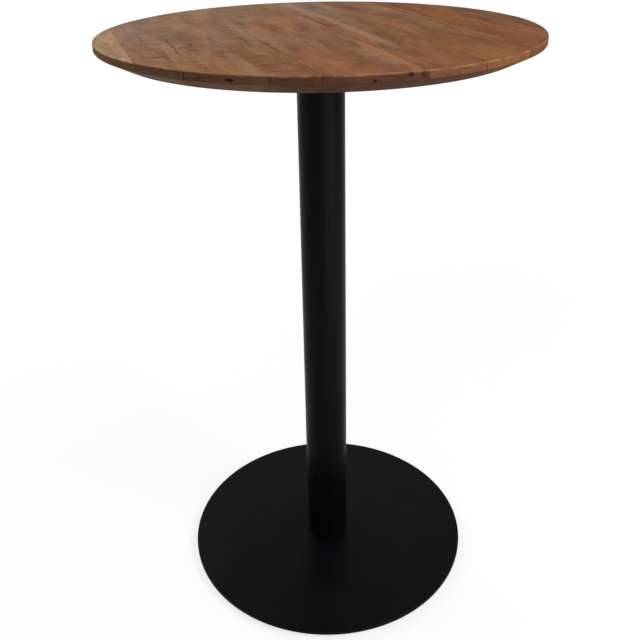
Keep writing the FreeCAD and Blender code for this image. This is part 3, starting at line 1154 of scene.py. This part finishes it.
    def make_board(self, name: str, left: float, right: float, finish: BoardFinish) -> bpy.types.Object:
        """Builds one board as a closed mesh of lines that follow the grain.

        Args:
            name: Name of the piece.
            left: Left edge of the board.
            right: Right edge of the board.
            finish: The board's finish, which holds its cracks.

        Returns:
            The board.
        """
        splits = [split for split in finish.splits if split.depth]
        nearest = min(abs(left), abs(right)) if left * right > 0.0 else 0.0
        longest = 2.0 * self.chord(self.radius, nearest)
        rows = math.ceil(longest / self.row_step)
        seats = math.ceil(longest / self.seat_step)
        points: list[Vector] = []
        shares: list[float] = []
        loops: list[list[int]] = []
        for across in self.columns(left, right, splits):
            jointed = min(across - left, right - across) < WELD and self.inside(across)
            loop = self.board_loop(across, rows, seats, self.joint_ease if jointed else 0.0, splits)
            loops.append(list(range(len(points), len(points) + len(loop))))
            points += [Vector(place) for place, _ in loop]
            shares += [share for _, share in loop]
        faces = [(one[k - 1], one[k], two[k], two[k - 1])
                 for one, two in zip(loops, loops[1:]) for k in range(len(one))]
        faces += [loop for loop in (loops[0], loops[-1]) if self.inside(points[loop[0]].x)]
        mesh = bpy.data.meshes.new(name)
        mesh.from_pydata([Matrix.Rotation(GRAIN_ANGLE, 3, "Z") @ point for point in points], [], faces)
        mesh.attributes.new(SPLIT_LAYER, "FLOAT", "POINT").data.foreach_set("value", shares)
        work = bmesh.new()
        work.from_mesh(mesh)
        return close_mesh(work, mesh)

    def board_loop(self, across: float, rows: int, seats: int, inset: float,
                   splits: list[Split]) -> list[tuple[Point, float]]:
        """Goes once round a board along one line of its mesh.

        Args:
            across: Place of the line across the grain.
            rows: Steps over the top.
            seats: Steps over the underside.
            inset: How far the edge is eased beside a joint.
            splits: Cracks of the board.

        Returns:
            Points in the grain with their share of a crack's depth.
        """
        far = self.rim_loop(across, Side.FAR, inset)
        near = self.rim_loop(across, Side.NEAR, inset)
        wide, long = self.relief_cycles
        loop = []
        for row in range(rows + 1):
            share = row / rows
            along = near[0][1] + (far[0][1] - near[0][1]) * share
            level = near[0][2] + (far[0][2] - near[0][2]) * share
            inward = min(along - near[0][1], far[0][1] - along)
            fade = min(1.0, inward / self.relief_fade)
            swell = 0.5 + 0.5 * noise.noise(Vector((across * wide, along * long, self.RELIEF_SEED)))
            shift, depth, split = self.groove(across, along, [] if inset else splits)
            loop.append(((across + shift, along, level - self.relief * swell * fade - depth), split))
        loop += [(point, 0.0) for point in far[1:]]
        for seat in range(1, seats):
            along = far[-1][1] + (near[-1][1] - far[-1][1]) * seat / seats
            loop.append(((across, along, far[-1][2]), 0.0))
        loop += [(point, 0.0) for point in reversed(near[1:])]
        return loop


@dataclass
class Pedestal:
    """Powder-coated column, base plate and top plate, with the bare discs inside the tube.

    Attributes:
        coated: Nodes under powder coat that keep their shape.
        bare: Nodes of bare steel.
        base: Node of the base plate.
        edge: Radius of the base plate's rounded edges, in metres.
        edge_steps: Steps of one rounding.
    """

    coated: tuple[str, ...] = ("column_tube", "top_plate")
    bare: tuple[str, ...] = ("head_disc", "foot_disc")
    base: str = "base_plate"
    edge: float = 0.0015
    edge_steps: int = 6

    def build(self, effects: Effects) -> None:
        """Turns the base plate's edge and gives the pedestal its finishes.

        Args:
            effects: Shared node groups.
        """
        coat = POWDER_COAT.material(effects)
        steel = MILL_STEEL.material(effects)
        for node in self.coated:
            dress(node, coat)
        for node in self.bare:
            dress(node, steel)
        plate = self.turn_base()
        plate.data.materials.clear()
        plate.data.materials.append(coat)
        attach(plate, "table")
        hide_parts(self.base)
        LOG.info("%s: %d faces", plate.name, len(plate.data.polygons))

    def edge_profile(self, radius: float, low: float, high: float) -> list[tuple[float, float]]:
        """Goes down the rounded edge of the base plate.

        Args:
            radius: Radius of the plate.
            low: Level of its underside.
            high: Level of its upper face.

        Returns:
            Distance from the middle and level of every step under the upper face.
        """
        flat = radius - self.edge
        steps = [(self.edge * math.sin(turn), self.edge * (1.0 - math.cos(turn)))
                 for turn in quarter_turn(self.edge_steps)]
        upper = [(flat + out, high - down) for out, down in steps]
        lower = [(flat + out, low + down) for out, down in reversed(steps)]
        return upper[1:] + lower

    def turn_base(self) -> bpy.types.Object:
        """Turns the edge of the base plate in even steps between the plate's own flat faces.

        Returns:
            The plate.
        """
        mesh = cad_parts[self.base].data.copy()
        mesh.name = f"{self.base}_turned"
        mesh.attributes.remove(mesh.attributes["custom_normal"])
        work = bmesh.new()
        work.from_mesh(mesh)
        bmesh.ops.remove_doubles(work, verts=work.verts, dist=WELD)
        radius = max(v.co.xy.length for v in work.verts)
        low = min(v.co.z for v in work.verts)
        high = max(v.co.z for v in work.verts)
        flat = radius - self.edge + WELD
        rounded = [f for f in work.faces if any(v.co.xy.length > flat for v in f.verts)]
        bmesh.ops.delete(work, geom=rounded, context="FACES")
        ring = [e for e in work.edges if e.is_boundary and e.verts[0].co.z > high - WELD]
        for reach, level in self.edge_profile(radius, low, high):
            made = bmesh.ops.extrude_edge_only(work, edges=ring)["geom"]
            ring = [part for part in made if isinstance(part, bmesh.types.BMEdge) and part.is_boundary]
            for vert in (part for part in made if isinstance(part, bmesh.types.BMVert)):
                vert.co = (vert.co.xy.normalized() * reach).to_3d() + Vector((0.0, 0.0, level))
        plate = close_mesh(work, mesh)
        plate.modifiers.new("even_shading", "WEIGHTED_NORMAL").keep_sharp = True
        return plate


@dataclass
class Fasteners:
    """Bolts, washers, inserts and screws that hold the top and the plates."""

    nodes: tuple[str, ...] = ("top_bolts", "top_washers", "threaded_inserts", "head_screws", "foot_screws")

    def dress(self, effects: Effects) -> None:
        """Gives the fasteners their plating.

        Args:
            effects: Shared node groups.
        """
        zinc = BOLT_ZINC.material(effects)
        for node in self.nodes:
            dress(node, zinc)


@dataclass
class Glides:
    """Levelling glides: a nylon pad and a plated stud each."""

    count: int = 4

    def dress(self, effects: Effects) -> None:
        """Gives the glides their finishes.

        Args:
            effects: Shared node groups.
        """
        nylon = NYLON.material(effects)
        zinc = STUD_ZINC.material(effects)
        for number in range(1, self.count + 1):
            dress(f"glide_pad_{number}", nylon)
            dress(f"glide_stud_{number}", zinc)


@dataclass
class Lamp:
    """Square soft light.

    Attributes:
        name: Name of the lamp.
        place: Where it hangs, in metres.
        side: Length of its side, in metres.
        power: Strength in watts.
        on_matt: Whether it lights matt surfaces too, or only shows in glossy ones.
    """

    name: str
    place: Point
    side: float
    power: float
    on_matt: bool = True

    def hang(self, target: Point) -> None:
        """Adds the lamp to the scene.

        Args:
            target: Point that it is turned to.
        """
        data = bpy.data.lights.new(self.name, "AREA")
        data.size = self.side
        data.energy = self.power
        lamp = bpy.data.objects.new(self.name, data)
        lamp.location = self.place
        lamp.rotation_euler = (Vector(target) - lamp.location).to_track_quat("-Z", "Y").to_euler()
        lamp.visible_camera = False
        lamp.visible_diffuse = self.on_matt
        bpy.context.scene.collection.objects.link(lamp)


@dataclass
class Studio:
    """White studio: floor, world, lamps and the camera at the photograph's place.

    Lengths are in metres, angles in degrees and pixels are those of the square image.

    Attributes:
        floor_half: Half the side of the floor.
        floor_bounce: How much light the floor sends back to the table.
        floor_shade: How clearly the floor shows the table's shadow.
        near_glow: White that is added to the floor beside the table.
        far_glow: White that is added to the floor far away.
        glow_start: Distance at which the first gives way to the second.
        glow_end: Distance at which it has.
        ambient: Strength of the even light.
        camera_distance: Distance of the camera from the column.
        camera_height: Height of the camera.
        yaw: Turn of the camera to the right.
        pitch: Lift of the camera's line of sight.
        roll: Tilt of the camera about its line of sight.
        focal_pixels: Focal length, in pixels.
        centre_pixel: Where the line of sight meets the image.
        sensor: Width of the sensor, in millimetres.
        lamp_target: Point that the lamps are turned to.
        lamps: The lamps.
    """

    floor_half: float = 40.0
    floor_bounce: float = 0.8
    floor_shade: float = 0.3
    near_glow: float = 0.745
    far_glow: float = 0.875
    glow_start: float = 0.8
    glow_end: float = 4.0
    ambient: float = 0.42
    camera_distance: float = 1.3935
    camera_height: float = 1.3144
    yaw: float = -0.3369
    pitch: float = -24.2543
    roll: float = -1.0319
    focal_pixels: float = 802.04
    centre_pixel: tuple[float, float] = (319.09, 252.0)
    sensor: float = 36.0
    lamp_target: Point = (0.0, 0.0, 0.9)
    lamps: tuple[Lamp, ...] = (
        Lamp("key_light", (2.3, -1.5, 2.3), 1.6, 60.0),
        Lamp("back_light", (-2.4, 2.2, 2.2), 2.0, 50.0),
        Lamp("sheen_light", (0.84, -0.98, 0.4), 1.4, 12.5, on_matt=False),
    )

    def build(self) -> None:
        """Builds the studio."""
        bpy.context.scene.view_settings.view_transform = "Standard"
        self.lay_floor()
        self.light_world()
        for lamp in self.lamps:
            lamp.hang(self.lamp_target)
        self.place_camera()

    def seen_directly(self, sheet: Sheet) -> Socket:
        """Tells the rays that show a surface from those that only bring light.

        Args:
            sheet: The material's or the world's sheet.

        Returns:
            1 for rays from the camera, a mirror or glass, and 0 for others.
        """
        rays = sheet.put("ShaderNodeLightPath", {}).outputs
        shiny = sheet.math("MAXIMUM", rays["Is Glossy Ray"], rays["Is Transmission Ray"])
        return sheet.math("MAXIMUM", rays["Is Camera Ray"], shiny)

    def lay_floor(self) -> None:
        """Lays a white floor that keeps a pale shadow under the table."""
        half = self.floor_half
        mesh = bpy.data.meshes.new("floor")
        corners = [(-half, -half, 0.0), (half, -half, 0.0), (half, half, 0.0), (-half, half, 0.0)]
        mesh.from_pydata(corners, [], [(0, 1, 2, 3)])
        floor = bpy.data.objects.new("floor", mesh)
        bpy.context.scene.collection.objects.link(floor)
        material, sheet = new_material("white_floor")
        bounce, shade = (sheet.put("ShaderNodeBsdfDiffuse", {"Color": rgb(grey, grey, grey)}).outputs[0]
                         for grey in (self.floor_bounce, self.floor_shade))
        distance = sheet.ease(sheet.measure("LENGTH", sheet.place()), self.glow_start, self.glow_end)
        strength = sheet.span(distance, self.near_glow, self.far_glow)
        glow = sheet.put("ShaderNodeEmission", {"Strength": strength}).outputs[0]
        shown = sheet.put("ShaderNodeAddShader", {0: shade, 1: glow}).outputs[0]
        direct = self.seen_directly(sheet)
        seen = sheet.put("ShaderNodeMixShader", {0: direct, 1: bounce, 2: shown}).outputs[0]
        sheet.put("ShaderNodeOutputMaterial", {"Surface": seen})
        mesh.materials.append(material)

    def light_world(self) -> None:
        """Fills the studio with even light, and shows it white."""
        world = bpy.data.worlds.new("studio")
        world.use_nodes = True
        sheet = Sheet(world.node_tree)
        strength = sheet.span(self.seen_directly(sheet), self.ambient, 1.0)
        light = sheet.put("ShaderNodeBackground", {"Color": rgb(1.0, 1.0, 1.0), "Strength": strength})
        sheet.put("ShaderNodeOutputWorld", {"Surface": light.outputs[0]})
        bpy.context.scene.world = world

    def place_camera(self) -> None:
        """Sets the camera where the photograph was taken."""
        yaw, pitch, roll = (math.radians(angle) for angle in (self.yaw, self.pitch, self.roll))
        forward = Vector((math.sin(yaw) * math.cos(pitch), math.cos(yaw) * math.cos(pitch), math.sin(pitch)))
        level = Vector((math.cos(yaw), -math.sin(yaw), 0.0))
        upright = level.cross(forward)
        right = math.cos(roll) * level + math.sin(roll) * upright
        up = math.cos(roll) * upright - math.sin(roll) * level
        data = bpy.data.cameras.new("camera")
        data.sensor_width = self.sensor
        data.lens = self.focal_pixels * self.sensor / IMAGE_SIDE
        data.shift_x = 0.5 - self.centre_pixel[0] / IMAGE_SIDE
        data.shift_y = self.centre_pixel[1] / IMAGE_SIDE - 0.5
        camera = bpy.data.objects.new("camera", data)
        turn = Matrix((right, up, -forward)).transposed().to_4x4()
        camera.matrix_world = Matrix.Translation((0.0, -self.camera_distance, self.camera_height)) @ turn
        bpy.context.scene.collection.objects.link(camera)
        bpy.context.scene.camera = camera


def main() -> None:
    """Builds the table's sub-assemblies in order, then the studio."""
    logging.basicConfig(level=logging.INFO, format="%(name)s: %(message)s")
    effects = Effects()
    RoundTop().build(effects)
    Pedestal().build(effects)
    Fasteners().dress(effects)
    Glides().dress(effects)
    Studio().build()
    bpy.context.view_layer.update()


if __name__ == "__main__":
    main()
